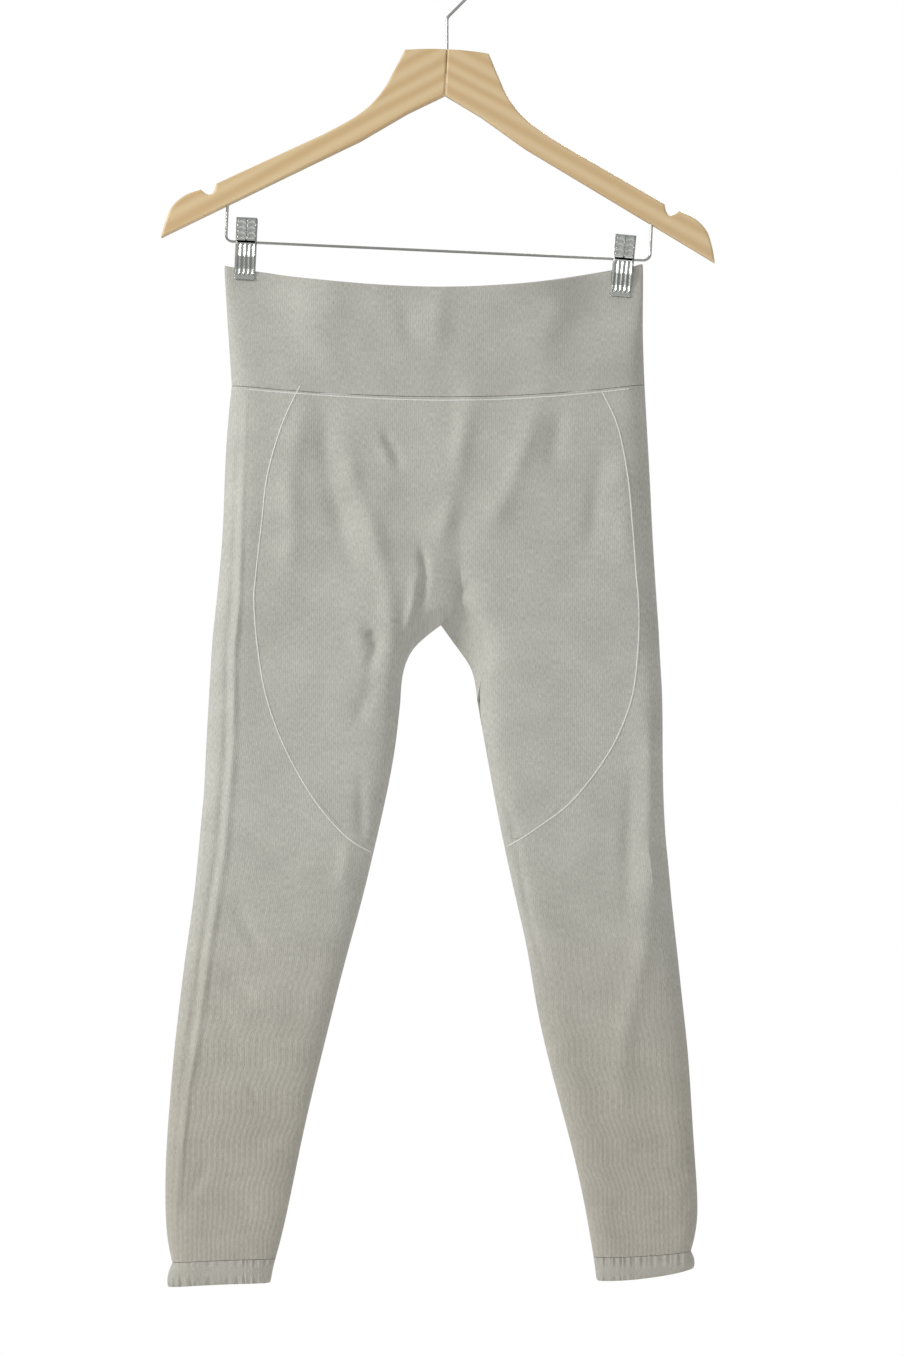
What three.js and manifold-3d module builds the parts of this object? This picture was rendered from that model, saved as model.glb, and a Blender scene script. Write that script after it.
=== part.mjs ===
// Knitted leggings hung by the waist from a wooden clip hanger.
// Millimetres, +Z up, front of the garment towards -Y.
// The origin is the underside of the hook's top, where a rail carries it.
import * as THREE from 'three';
import { mergeVertices } from 'three/addons/utils/BufferGeometryUtils.js';
import Module from 'manifold-3d';

const wasm = await Module();
wasm.setup();

// ---------- driving sizes ----------
const bandWall = 1.8;            // doubled knit of the waistband
const legWall = 1.6;
const gussetWall = 1.6;
const cuffWall = 2.2;
const seamInset = 0.2;           // each edge stands back this far, so seams are 0.3 to 0.4 open
const gussetInset = 0.35;        // more where the gusset meets the legs at a sharp corner
const clearance = 0.3;

const panelColumns = 9;          // centre front or inner leg to the contour seam
const sideColumns = 6;           // contour seam to the outer fold
const backColumns = 16;          // outer fold to the centre back or inner leg
const stripColumns = 3;          // back inner edge round to the front inner edge
const innerRoll = 22;            // how far the rounding of the inner leg reaches

const hangerTilt = THREE.MathUtils.degToRad(2.6);
const hookRadius = 21;
const hookWire = 1.15;
const hookBend = { z: -49.6, radius: 5 };
const woodTop = -75.6;
const woodThickness = 12;
const woodRounding = 1.5;
const stemDepth = 20;
const barWire = 1.1;
const barHalfWidth = 172.5;
const barZ = -163.5;
const barBend = 5.5;
const barTopZ = -127;
const clipWidth = 17;
const clipSheet = 1;
const earRadius = 2.9;
const earSheet = 0.9;
const earBore = 1.85;            // loose enough for the clip to lean on the bar
const springBore = 1.5;
const springRadius = 2.5;
const springHalfLength = 5.4;
const clips = [
  { side: 'left', x: -156, lean: 0, jawX: -164.5 },
  { side: 'right', x: 151, lean: THREE.MathUtils.degToRad(2.6), jawX: 141 },
];

const pinchDepth = 2.4;          // half depth of the waistband between the jaws
const pinchFlat = 14;            // it stays that flat this far each side of a clip
const pinchReach = 75;

function table(columns, rows) {
  return rows.map(row => Object.fromEntries(columns.map((name, index) => [name, row[index]])));
}

// ---------- sections of the cloth ----------
// Shared by both sides: half depth, half depth at the inner edge, how far the rounding of the
// outer fold reaches, and how much of the pinch between the clip jaws is left.
const depthRows = table(['depth', 'edgeDepth', 'outerRoll', 'pinch'], [
  [14, 14, 3, 1],
  [14, 14, 3.4, 1],
  [14.5, 14.5, 10, 0.5],
  [15, 15, 17, 0.15],
  [15, 15, 21, 0],
  [16.5, 16.5, 22, 0],
  [17, 17, 22, 0],
  [17, 17, 22, 0],
  [17, 15, 22, 0],
  [17, 10.5, 22, 0],
  [16.5, 8.5, 22, 0],
  [16, 6.5, 22, 0],
  [16, 5.4, 22, 0],
  [15.5, 4.6, 22, 0],
  [15, 3.4, 22, 0],
  [14.5, 2.6, 22, 0],
  [14, 2.6, 22, 0],
  [13, 2.6, 22, 0],
  [12.5, 2.6, 21, 0],
  [12, 2.6, 21, 0],
  [11.5, 2.6, 20, 0],
  [11, 2.6, 20, 0],
  [10.5, 2.6, 19, 0],
  [10, 2.6, 19, 0],
  [9.5, 2.6, 18, 0],
  [9, 2.8, 17, 0],
  [10, 3, 17, 0],
  [9.5, 3, 17, 0],
]);
// Which piece a stretch of rows belongs to, by the row it ends at.
const bandEnd = 4;
const crotchRow = 9;
const gussetEnd = 13;
const panelEnd = 16;
const cuffStart = 25;

const sectionColumns = ['outerX', 'outerZ', 'contourX', 'frontX', 'frontZ', 'backX', 'backZ'];
const leftSections = table(sectionColumns, [
  [-182, -249.6, -119, 3, -268, -8, -265.5],
  [-180.3, -275, -119, 3, -292, -8, -289.5],
  [-179, -299, -118.5, 3, -314, -8, -311.5],
  [-177, -325, -118.5, 3, -337.5, -8, -334.5],
  [-175.6, -348.8, -119.5, 3, -358.5, -8, -355.5],
  [-178.9, -380, -133, 5, -386, -7.5, -386],
  [-181.3, -421, -145, 7, -424, -7, -425],
  [-182.1, -462, -150, 9, -462, -6.5, -466],
  [-185.4, -502, -154.5, 11, -496, -5.5, -508],
  [-188.5, -530, -156.5, 12, -525, -5, -543],
  [-190.5, -548, -155, -17, -537, -21, -555],
  [-191.9, -565, -152.5, -28, -555, -31, -566],
  [-193, -584, -149.5, -37, -580, -37, -584],
  [-194.3, -606, -144.5, -38, -604, -38, -606],
  [-196.7, -645, -130, -42, -645, -42, -645],
  [-198.4, -685, -107, -50, -685, -50, -685],
  [-201, -716, -78, -57, -716, -57, -716],
  [-205.7, -767, -98, -69, -767, -69, -767],
  [-212.2, -807, -120, -80.5, -807, -80.5, -807],
  [-217.1, -848, -135, -91, -848, -91, -848],
  [-222, -889, -147, -101, -889, -101, -889],
  [-225.2, -929, -155, -111, -929, -111, -929],
  [-228.5, -970, -162, -120, -970, -120, -970],
  [-229.3, -1011, -167, -128, -1011, -128, -1011],
  [-228, -1040, -169, -134.5, -1040, -134.5, -1040],
  [-223.5, -1060.5, -168, -139.3, -1057.4, -139.3, -1057.4],
  [-228, -1071, -170, -142, -1067.5, -142, -1067.5],
  [-227.8, -1081.3, -171, -143.3, -1077.7, -143.3, -1077.7],
]);
const rightSections = table(sectionColumns, [
  [160, -248, 118, 3, -268, -8, -265.5],
  [159.7, -281, 119, 3, -292, -8, -289.5],
  [159.4, -299, 120, 3, -314, -8, -311.5],
  [160, -324, 121.5, 3, -337.5, -8, -334.5],
  [161, -348, 122.8, 3, -358.5, -8, -355.5],
  [162.6, -380, 137.4, 5, -386, -7.5, -386],
  [165, -421, 146, 7, -424, -7, -425],
  [166.7, -462, 150, 9, -462, -6.5, -466],
  [169.1, -502, 153, 11, -496, -5.5, -508],
  [171, -530, 155, 12, -525, -5, -543],
  [172.4, -548, 155, 25, -536, 4, -556],
  [173, -565, 154.5, 31.5, -555, 13, -568],
  [174.3, -584, 152.5, 29.5, -578, 22, -581],
  [175.6, -606, 149, 24.4, -604, 24.4, -604],
  [175.6, -645, 131.7, 31.7, -645, 31.7, -645],
  [176.4, -685, 101.6, 39, -685, 39, -685],
  [178.3, -716, 58, 45, -716, 45, -716],
  [182.1, -767, 85, 56.1, -767, 56.1, -767],
  [187, -807, 105, 65.9, -807, 65.9, -807],
  [191.1, -848, 118, 71.5, -848, 71.5, -848],
  [195.9, -889, 128, 80.5, -889, 80.5, -889],
  [198.4, -929, 138, 91.1, -929, 91.1, -929],
  [200.8, -970, 147, 102.4, -970, 102.4, -970],
  [204.1, -1011, 153, 111.4, -1011, 111.4, -1011],
  [203, -1036, 157, 116, -1038, 116, -1038],
  [198.5, -1051.4, 158, 119, -1056, 119, -1056],
  [202, -1058.5, 160, 120.5, -1066.5, 120.5, -1066.5],
  [201.1, -1066, 160, 121.3, -1075.9, 121.3, -1075.9],
]);

// Large folds: a soft ridge (height above 0) or trough (below 0) from one end to the other.
const foldColumns = ['x1', 'z1', 'x2', 'z2', 'width', 'height'];
const frontFolds = table(foldColumns, [
  [-85, -375, -58, -470, 16, 3],
  [-58, -470, -44, -585, 16, 3.2],
  [-99, -365, -76, -500, 12, -2.2],
  [-116, -362, -128, -500, 14, 2],
  [19, -362, -10, -488, 14, 2.4],
  [78, -357, 34, -462, 14, 2.4],
  [125, -402, 117, -482, 12, -1.8],
  [-160, -420, -170, -640, 12, 2.2],
  [168, -600, 163, -760, 13, 2.6],
  [163, -760, 140, -925, 13, 2.4],
  [147, -665, 143, -780, 12, -2],
  [-118, -770, -160, -900, 16, 1.8],
]);
const backFolds = table(foldColumns, [
  [-95, -370, -55, -500, 16, 2.8],
  [-30, -365, -22, -480, 13, -2],
  [70, -362, 30, -480, 15, 2.6],
  [120, -400, 112, -520, 13, -2],
  [-140, -430, -150, -640, 14, 2.2],
  [140, -600, 135, -800, 14, 2.2],
  [-110, -640, -150, -850, 15, -1.8],
]);

function foldDepth(folds, x, z) {
  let depth = 0;
  for (const fold of folds) {
    const runX = fold.x2 - fold.x1;
    const runZ = fold.z2 - fold.z1;
    const along = ((x - fold.x1) * runX + (z - fold.z1) * runZ) / (runX ** 2 + runZ ** 2);
    const nearest = THREE.MathUtils.clamp(along, 0, 1);
    const away = Math.hypot(x - fold.x1 - nearest * runX, z - fold.z1 - nearest * runZ);
    depth += fold.height * Math.exp(-((away / fold.width) ** 2));
  }
  return depth;
}

// Quarter-round: 0 at the edge, 1 from the given reach inwards.
function rounding(distance, reach) {
  if (distance >= reach) return 1;
  return Math.sqrt(1 - (1 - distance / reach) ** 2);
}

function pinched(depth, x, amount) {
  let share = 1;
  for (const clip of clips) {
    share = Math.min(share, THREE.MathUtils.smoothstep(Math.abs(x - clip.jawX), pinchFlat, pinchReach));
  }
  return depth + (pinchDepth - depth) * (1 - share) * amount;
}

const frontColumns = panelColumns + sideColumns;
const ringColumns = frontColumns + backColumns + stripColumns;

// How far a column lies from the outer fold (0) to the inner edge (1), and on which face.
function columnPlace(section, column) {
  if (column <= panelColumns) {
    const step = column / panelColumns;
    const share = 0.45 * step + 0.55 * (1 - Math.cos(step * Math.PI / 2));
    const x = section.frontX + (section.contourX - section.frontX) * share;
    return { face: -1, inward: (x - section.outerX) / (section.frontX - section.outerX) };
  }
  if (column <= frontColumns) {
    const share = Math.sin((column - panelColumns) / sideColumns * Math.PI / 2);
    const x = section.contourX + (section.outerX - section.contourX) * share;
    return { face: -1, inward: (x - section.outerX) / (section.frontX - section.outerX) };
  }
  const share = (1 - Math.cos((column - frontColumns) / backColumns * Math.PI)) / 2;
  return { face: 1, inward: share };
}

// A point of the cloth's outer surface. The strip columns run straight between the inner edges.
function surfacePoint(sections, row, column) {
  const last = frontColumns + backColumns;
  if (column > last) {
    const back = surfacePoint(sections, row, last);
    const front = surfacePoint(sections, row, 0);
    return back.lerp(front, (column - last) / stripColumns);
  }
  const section = sections[row];
  const depths = depthRows[row];
  const { face, inward } = columnPlace(section, column);
  const innerX = face < 0 ? section.frontX : section.backX;
  const innerZ = face < 0 ? section.frontZ : section.backZ;
  const x = section.outerX + (innerX - section.outerX) * inward;
  const z = section.outerZ + (innerZ - section.outerZ) * (1 - (1 - inward) ** 2);
  const width = Math.abs(innerX - section.outerX);
  const fullDepth = pinched(depths.depth, x, depths.pinch);
  const edgeDepth = Math.min(depths.edgeDepth, fullDepth);
  const fromInner = rounding((1 - inward) * width, innerRoll);
  const fromOuter = rounding(inward * width, depths.outerRoll);
  const folds = row < bandEnd || row >= cuffStart ? 0 : foldDepth(face < 0 ? frontFolds : backFolds, x, z);
  const half = fromOuter * (edgeDepth + (fullDepth - edgeDepth) * fromInner + folds * fromInner * fromOuter);
  return new THREE.Vector3(x, face * half, z);
}

// ---------- the welded surface ----------
const sides = { left: leftSections, right: rightSections };
const cloth = { points: [], normals: [], lookup: new Map(), quads: {} };

function clothVertex(side, row, column) {
  const wrapped = column === ringColumns ? 0 : column;
  const point = surfacePoint(sides[side], row, wrapped);
  const key = point.toArray().map(value => value.toFixed(3)).join(' ');
  if (!cloth.lookup.has(key)) {
    cloth.lookup.set(key, cloth.points.length);
    cloth.points.push(point);
    cloth.normals.push(new THREE.Vector3());
  }
  return cloth.lookup.get(key);
}

function pieceAt(side, row, column) {
  if (row < bandEnd) return 'waistband';
  if (row >= cuffStart) return `cuff_${side}`;
  if (row < panelEnd && column < panelColumns) return 'front_panel';
  if (row < gussetEnd && column >= frontColumns + backColumns) return 'gusset';
  return `leg_${side}`;
}

function addSide(side) {
  for (let row = 0; row < depthRows.length - 1; row += 1) {
    const columns = row < crotchRow ? frontColumns + backColumns : ringColumns;
    for (let column = 0; column < columns; column += 1) {
      const corners = [[0, 0], [1, 0], [1, 1], [0, 1]]
        .map(([down, across]) => clothVertex(side, row + down, column + across));
      // Columns run from the inner front outwards, so the two sides wind in opposite ways.
      if (side === 'left') corners.reverse();
      const piece = pieceAt(side, row, column);
      cloth.quads[piece] ??= [];
      cloth.quads[piece].push(corners);
    }
  }
}
Object.keys(sides).forEach(addSide);

function faceNormal(corners, points) {
  const across = points[corners[2]].clone().sub(points[corners[0]]);
  const down = points[corners[3]].clone().sub(points[corners[1]]);
  return across.cross(down).normalize();
}

for (const quads of Object.values(cloth.quads)) {
  for (const corners of quads) {
    const normal = faceNormal(corners, cloth.points);
    for (const corner of corners) cloth.normals[corner].add(normal);
  }
}
cloth.normals.forEach(normal => normal.normalize());

// Edges that only one quad of the piece uses, in the direction that quad runs them.
function openEdges(quads) {
  const edges = new Map();
  for (const corners of quads) {
    corners.forEach((from, index) => {
      const to = corners[(index + 1) % 4];
      if (edges.has(`${to} ${from}`)) edges.delete(`${to} ${from}`);
      else edges.set(`${from} ${to}`, { from, to, normal: faceNormal(corners, cloth.points) });
    });
  }
  return [...edges.values()];
}

// A wall of cloth: the quads, their copy one wall further in, and a rim round each open edge.
function clothWall(quads, wall, standBack = seamInset) {
  const edges = openEdges(quads);
  const insets = new Map();
  for (const edge of edges) {
    const run = cloth.points[edge.to].clone().sub(cloth.points[edge.from]).normalize();
    const inwards = edge.normal.clone().cross(run);
    for (const corner of [edge.from, edge.to]) {
      insets.set(corner, (insets.get(corner) ?? new THREE.Vector3()).add(inwards));
    }
  }
  const numbers = new Map();
  const positions = [];
  const corner = number => {
    if (!numbers.has(number)) {
      numbers.set(number, positions.length / 3);
      const inset = (insets.get(number) ?? new THREE.Vector3()).clone().normalize().multiplyScalar(standBack);
      const outside = cloth.points[number].clone().add(inset);
      const inside = outside.clone().addScaledVector(cloth.normals[number], -wall);
      positions.push(...outside.toArray(), ...inside.toArray());
    }
    return numbers.get(number);
  };
  const triangles = [];
  for (const corners of quads) {
    const [a, b, c, d] = corners.map(corner);
    triangles.push(a, b, c, a, c, d);
    triangles.push(a + 1, c + 1, b + 1, a + 1, d + 1, c + 1);
  }
  for (const edge of edges) {
    const from = corner(edge.from);
    const to = corner(edge.to);
    triangles.push(to, from, from + 1, to, from + 1, to + 1);
  }
  const geometry = new THREE.BufferGeometry();
  geometry.setAttribute('position', new THREE.Float32BufferAttribute(positions, 3));
  geometry.setIndex(triangles);
  geometry.computeVertexNormals();
  return geometry;
}

// ---------- solids that are cut and joined ----------
function toSolid(geometry) {
  const bare = geometry.clone();
  bare.deleteAttribute('normal');
  bare.deleteAttribute('uv');
  const merged = mergeVertices(bare, 1e-4);
  return new wasm.Manifold(new wasm.Mesh({
    numProp: 3,
    vertProperties: new Float32Array(merged.attributes.position.array),
    triVerts: new Uint32Array(merged.index.array),
  }));
}

function toGeometry(solid) {
  const mesh = solid.getMesh();
  const geometry = new THREE.BufferGeometry();
  geometry.setAttribute('position', new THREE.BufferAttribute(mesh.vertProperties, 3));
  geometry.setIndex(new THREE.BufferAttribute(mesh.triVerts, 1));
  geometry.computeVertexNormals();
  return geometry;
}

function cut(geometry, ...tools) {
  return toGeometry(tools.reduce((solid, tool) => solid.subtract(toSolid(tool)), toSolid(geometry)));
}

function join(...geometries) {
  return toGeometry(geometries.map(toSolid).reduce((whole, solid) => whole.add(solid)));
}

// A route whose steps fall on its own points, so bends get the steps they need.
class Route extends THREE.Curve {
  constructor(stops) {
    super();
    this.stops = stops;
  }

  getPointAt(share) {
    return this.stops[Math.round(share * (this.stops.length - 1))].clone();
  }

  getTangentAt(share) {
    const index = Math.round(share * (this.stops.length - 1));
    const before = this.stops[Math.max(0, index - 1)];
    const after = this.stops[Math.min(this.stops.length - 1, index + 1)];
    return after.clone().sub(before).normalize();
  }
}

function wire(stops, radius, sideCount) {
  const ring = Array.from({ length: sideCount }, (_, index) => {
    const angle = index / sideCount * 2 * Math.PI;
    return new THREE.Vector2(radius * Math.cos(angle), radius * Math.sin(angle));
  });
  return new THREE.ExtrudeGeometry(new THREE.Shape(ring), {
    steps: stops.length - 1,
    extrudePath: new Route(stops),
  });
}

// Points of an arc in the XZ plane, angles in degrees from +X towards +Z.
function arc(centreX, centreZ, radius, from, to, steps) {
  return Array.from({ length: steps + 1 }, (_, index) => {
    const angle = THREE.MathUtils.degToRad(from + (to - from) * index / steps);
    return new THREE.Vector3(centreX + radius * Math.cos(angle), 0, centreZ + radius * Math.sin(angle));
  });
}

// ---------- hook ----------
function hookShape() {
  const centreZ = hookWire - hookRadius;
  const reach = hookBend.radius * Math.tan(Math.PI / 8);
  const stem = [
    new THREE.Vector3(0, 0, woodTop - stemDepth),
    new THREE.Vector3(0, 0, woodTop),
  ];
  const bend = arc(hookBend.radius, hookBend.z - reach, hookBend.radius, 180, 135, 4);
  const loop = arc(0, centreZ, hookRadius, -45, 215, 30);
  return wire([...stem, ...bend, ...loop], hookWire, 10);
}

// ---------- wooden arms, in the hanger's own frame ----------
const uprightBasis = new THREE.Matrix4().makeBasis(
  new THREE.Vector3(1, 0, 0),
  new THREE.Vector3(0, 0, 1),
  new THREE.Vector3(0, -1, 0),
);

function armShape(sign) {
  const at = (x, z) => new THREE.Vector2(sign * x, z);
  const shape = new THREE.Shape();
  const centre = clearance / 2;
  shape.moveTo(sign * centre, 0);
  shape.quadraticCurveTo(sign * 18, 0, sign * 34, -2);
  shape.splineThru([at(42, -19), at(50, -35), at(61, -49), at(76, -61), at(98, -74)]);
  shape.lineTo(sign * 182, -117.5);
  shape.quadraticCurveTo(sign * 183.5, -127.5, sign * 188, -126.8);
  shape.quadraticCurveTo(sign * 191.5, -126, sign * 194, -122.8);
  shape.splineThru([at(207, -128), at(217, -137.5), at(222, -150), at(225, -163)]);
  shape.lineTo(sign * 118, -105);
  shape.lineTo(sign * 67, -77.5);
  shape.lineTo(sign * 30, -53.5);
  shape.lineTo(sign * centre, -37.4);
  return shape;
}

function woodArm(sign) {
  const geometry = new THREE.ExtrudeGeometry(armShape(sign), {
    depth: woodThickness - 2 * woodRounding,
    bevelThickness: woodRounding,
    bevelSize: woodRounding,
    bevelOffset: -woodRounding,
    bevelSegments: 2,
    curveSegments: 3,
  });
  geometry.applyMatrix4(uprightBasis);
  geometry.translate(0, woodThickness / 2 - woodRounding, 0);
  const stemHole = drill(hookWire + clearance, -stemDepth - clearance, 5);
  stemHole.rotateY(-hangerTilt);
  const barHole = drill(barWire + clearance, -145, barTopZ + clearance);
  barHole.translate(sign * barHalfWidth, 0, 0);
  return cut(geometry, stemHole, barHole);
}

function drill(radius, bottom, top) {
  const tool = new THREE.CylinderGeometry(radius, radius, top - bottom, 16);
  tool.rotateX(Math.PI / 2);
  tool.translate(0, 0, (top + bottom) / 2);
  return tool;
}

// ---------- trouser bar ----------
function trouserBar() {
  const corner = barHalfWidth - barBend;
  const left = arc(-corner, barZ + barBend, barBend, 180, 270, 5);
  const right = arc(corner, barZ + barBend, barBend, 270, 360, 5);
  const ends = [-1, 1].map(sign => new THREE.Vector3(sign * barHalfWidth, 0, barTopZ));
  return wire([ends[0], ...left, ...right, ends[1]], barWire, 10);
}

// ---------- clips, each about its place on the bar ----------
const acrossBasis = new THREE.Matrix4().makeBasis(
  new THREE.Vector3(0, 1, 0),
  new THREE.Vector3(0, 0, 1),
  new THREE.Vector3(1, 0, 0),
);
// Inner face of a jaw, from the grip to the biting end.
const jawProfile = table(['y', 'z'], [
  [6.4, 19.5],
  [4.2, 9],
  [3.2, 3],
  [3.2, -3],
  [4.2, -11],
  [2.9, -21],
  [2.75, -29.8],
]);

function slab(shape, thickness, centreX) {
  const geometry = new THREE.ExtrudeGeometry(shape, { depth: thickness, bevelEnabled: false });
  geometry.translate(0, 0, -thickness / 2);
  geometry.applyMatrix4(acrossBasis);
  geometry.translate(centreX, 0, 0);
  return geometry;
}

function jaw(sign, earX) {
  const inner = jawProfile.map(({ y, z }) => new THREE.Vector2(sign * y, z));
  const outer = jawProfile.map(({ y, z }) => new THREE.Vector2(sign * (y + clipSheet), z));
  const plate = slab(new THREE.Shape([...inner, ...outer.reverse()]), clipWidth, 0);
  const rim = arc(0, 0, earRadius, 90, 270, 8).map(({ x, z }) => new THREE.Vector2(sign * x, z));
  const root = [-earRadius, earRadius].map(z => new THREE.Vector2(sign * (3.2 + clipSheet / 2), z));
  const ear = new THREE.Shape([...rim, ...root]);
  const body = join(plate, slab(ear, earSheet, -earX), slab(ear, earSheet, earX));
  const bore = new THREE.CylinderGeometry(earBore, earBore, 2 * clipWidth, 16);
  bore.rotateZ(Math.PI / 2);
  return cut(body, bore);
}

function springSleeve() {
  const profile = [
    [springBore, -springHalfLength],
    [springRadius, -springHalfLength],
    [springRadius, springHalfLength],
    [springBore, springHalfLength],
    [springBore, -springHalfLength],
  ].map(([radius, along]) => new THREE.Vector2(radius, along));
  const geometry = new THREE.LatheGeometry(profile, 16);
  geometry.rotateZ(Math.PI / 2);
  return geometry;
}

// ---------- materials ----------
const finish = {
  knit: { color: 0xbebeb5, roughness: 0.9, metalness: 0 },
  band: { color: 0xb3b3aa, roughness: 0.9, metalness: 0 },
  cuff: { color: 0xafaba0, roughness: 0.92, metalness: 0 },
  wood: { color: 0xd8bc8c, roughness: 0.55, metalness: 0 },
  chrome: { color: 0xc8ccc6, roughness: 0.2, metalness: 1 },
};

function named(name, geometry, look) {
  const mesh = new THREE.Mesh(geometry, new THREE.MeshStandardMaterial(finish[look]));
  mesh.name = name;
  return mesh;
}

// ---------- assembly ----------
const part = new THREE.Group();
part.add(named('waistband', clothWall(cloth.quads.waistband, bandWall), 'band'));
part.add(named('front_panel', clothWall(cloth.quads.front_panel, legWall), 'knit'));
part.add(named('gusset', clothWall(cloth.quads.gusset, gussetWall, gussetInset), 'knit'));
for (const side of Object.keys(sides)) {
  part.add(named(`leg_${side}`, clothWall(cloth.quads[`leg_${side}`], legWall), 'knit'));
  part.add(named(`cuff_${side}`, clothWall(cloth.quads[`cuff_${side}`], cuffWall), 'cuff'));
}
part.add(named('hook', hookShape(), 'chrome'));

const hanger = new THREE.Group();
hanger.position.z = woodTop;
hanger.rotation.y = hangerTilt;
hanger.add(named('hanger_arm_left', woodArm(-1), 'wood'));
hanger.add(named('hanger_arm_right', woodArm(1), 'wood'));
hanger.add(named('trouser_bar', trouserBar(), 'chrome'));
for (const clip of clips) {
  const group = new THREE.Group();
  group.position.set(clip.x, 0, barZ);
  group.rotation.y = clip.lean;
  group.add(named(`clip_${clip.side}_front`, jaw(-1, 6.4), 'chrome'));
  group.add(named(`clip_${clip.side}_back`, jaw(1, 7.8), 'chrome'));
  group.add(named(`clip_${clip.side}_spring`, springSleeve(), 'chrome'));
  hanger.add(group);
}
part.add(hanger);

export default part;
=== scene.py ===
import math

import bmesh
import bpy
import numpy as np
from mathutils import Matrix, Vector
from mathutils.kdtree import KDTree


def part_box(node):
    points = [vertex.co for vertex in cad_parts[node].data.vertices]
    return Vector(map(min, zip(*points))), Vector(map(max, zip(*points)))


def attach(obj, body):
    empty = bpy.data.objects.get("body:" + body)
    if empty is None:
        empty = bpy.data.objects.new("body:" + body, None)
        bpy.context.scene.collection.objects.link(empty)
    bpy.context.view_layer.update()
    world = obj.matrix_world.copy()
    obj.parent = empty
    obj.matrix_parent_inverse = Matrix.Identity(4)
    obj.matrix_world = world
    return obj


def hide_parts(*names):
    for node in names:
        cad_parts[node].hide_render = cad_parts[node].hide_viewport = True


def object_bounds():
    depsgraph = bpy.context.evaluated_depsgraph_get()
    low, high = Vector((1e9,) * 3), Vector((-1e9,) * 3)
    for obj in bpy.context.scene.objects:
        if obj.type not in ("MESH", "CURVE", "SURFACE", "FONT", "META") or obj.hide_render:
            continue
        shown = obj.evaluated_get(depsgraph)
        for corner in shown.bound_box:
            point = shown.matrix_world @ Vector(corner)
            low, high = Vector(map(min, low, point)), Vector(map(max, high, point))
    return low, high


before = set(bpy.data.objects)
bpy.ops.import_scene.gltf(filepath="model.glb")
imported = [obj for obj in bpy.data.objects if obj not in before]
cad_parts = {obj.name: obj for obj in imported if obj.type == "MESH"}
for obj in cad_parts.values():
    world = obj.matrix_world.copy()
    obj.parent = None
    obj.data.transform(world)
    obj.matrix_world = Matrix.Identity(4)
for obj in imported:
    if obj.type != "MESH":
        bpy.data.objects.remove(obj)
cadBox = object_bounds()
mm = 0.001


def addObject(name, data):
    thing = bpy.data.objects.new(name, data)
    bpy.context.collection.objects.link(thing)
    return thing


def newMaterial(name):
    material = bpy.data.materials.new(name)
    material.use_nodes = True
    tree = material.node_tree
    return material, tree, tree.nodes["Principled BSDF"]


def setInputs(node, values):
    for label, value in values.items():
        node.inputs[label].default_value = value


def setRamp(ramp, *stops):
    for element, (position, colour) in zip(ramp.color_ramp.elements, stops):
        element.position = position
        element.color = (*colour, 1)


def smoothFaces(mesh):
    for polygon in mesh.polygons:
        polygon.use_smooth = True


# Camera and light.

cameraSetup = {
    "middle": (4 * mm, -586 * mm),  # x and z that the view is centred on
    "height": 1102 * mm,            # how much of the object's height fits in the picture
    "distance": 3.4,
    "sensor": 24,                   # height of the sensor, in millimetres
}

lightSetup = {
    "keyPower": 40.0,
    "keyPlace": (-2.3, -1.1, 0.5),
    "fillPower": 2.5,
    "fillPlace": (0.6, -2.4, 0.2),
    "rimPower": 12.0,
    "rimPlace": (0.5, 1.7, 0.6),
    "size": 0.8,
    "around": 0.44,                 # strength of the light from all round
    "below": (0.35, (0.55, 0.55, 0.54)),  # darker from below, so metal shows its shape
    "above": (0.62, (1.25, 1.25, 1.25)),
    "backdrop": 1.0,
}

floorSetup = {
    "size": 2.2,
    "drop": 0.45,                   # how far below the hems it lies
    "finish": {"Base Color": (0.9, 0.9, 0.9, 1), "Roughness": 0.8},
}

target = Vector((0, 0, cameraSetup["middle"][1]))


def addCamera():
    x, z = cameraSetup["middle"]
    data = bpy.data.cameras.new("camera")
    data.sensor_fit = "VERTICAL"
    data.sensor_height = cameraSetup["sensor"]
    data.lens = cameraSetup["sensor"] * cameraSetup["distance"] / cameraSetup["height"]
    camera = addObject("camera", data)
    camera.location = (x, -cameraSetup["distance"], z)
    camera.rotation_euler = (math.radians(90), 0, 0)
    bpy.context.scene.camera = camera


def addAreaLight(name, place, power):
    data = bpy.data.lights.new(name, "AREA")
    data.shape = "DISK"
    data.size = lightSetup["size"]
    data.energy = power
    light = addObject(name, data)
    light.location = place
    light.rotation_euler = (target - Vector(place)).to_track_quat("-Z", "Y").to_euler()


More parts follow.
